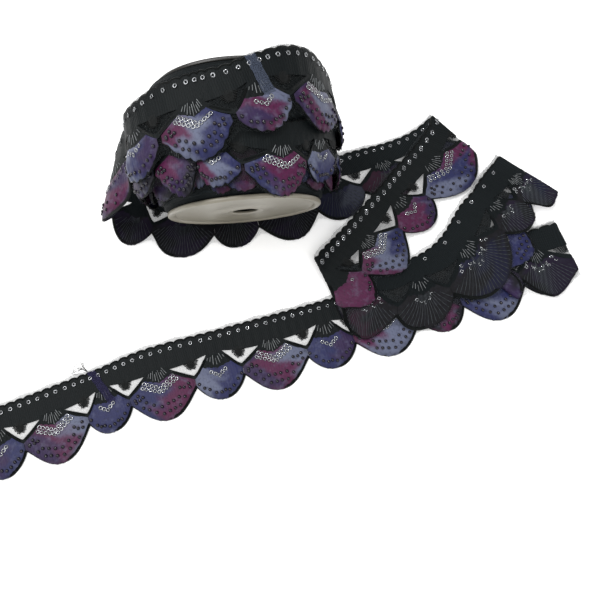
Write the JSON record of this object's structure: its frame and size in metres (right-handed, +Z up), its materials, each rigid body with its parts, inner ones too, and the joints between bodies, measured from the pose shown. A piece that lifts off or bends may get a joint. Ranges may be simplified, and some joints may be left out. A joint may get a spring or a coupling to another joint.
{
  "type": "roll of beaded sequin trim",
  "caption": "Scalloped net trim with printed petals, beads and sequins, wound on a plastic reel, its loose end folded in a small pile and running out over the table.",
  "frame": {"origin": "on the table, at the flat underside of the trim's last run in front of the roll", "axes": "+X to the right along the pile, +Y to the back from the loose end to the roll, +Z up from the table"},
  "size_m": [0.4474, 0.3037, 0.1454],
  "materials": {
    "reel_cream": "glossy cream moulded plastic",
    "reel_dark": "smooth dark brown-grey moulded plastic",
    "trim": "black embroidered net with blue and magenta printed petals"
  },
  "bodies": {
    "root": {"reel_front_disc": "reel_cream", "reel_back_disc": "reel_dark", "reel_barrel": "reel_cream", "wound_trim": "trim", "loose_end": "trim"}
  },
  "joints": []
}
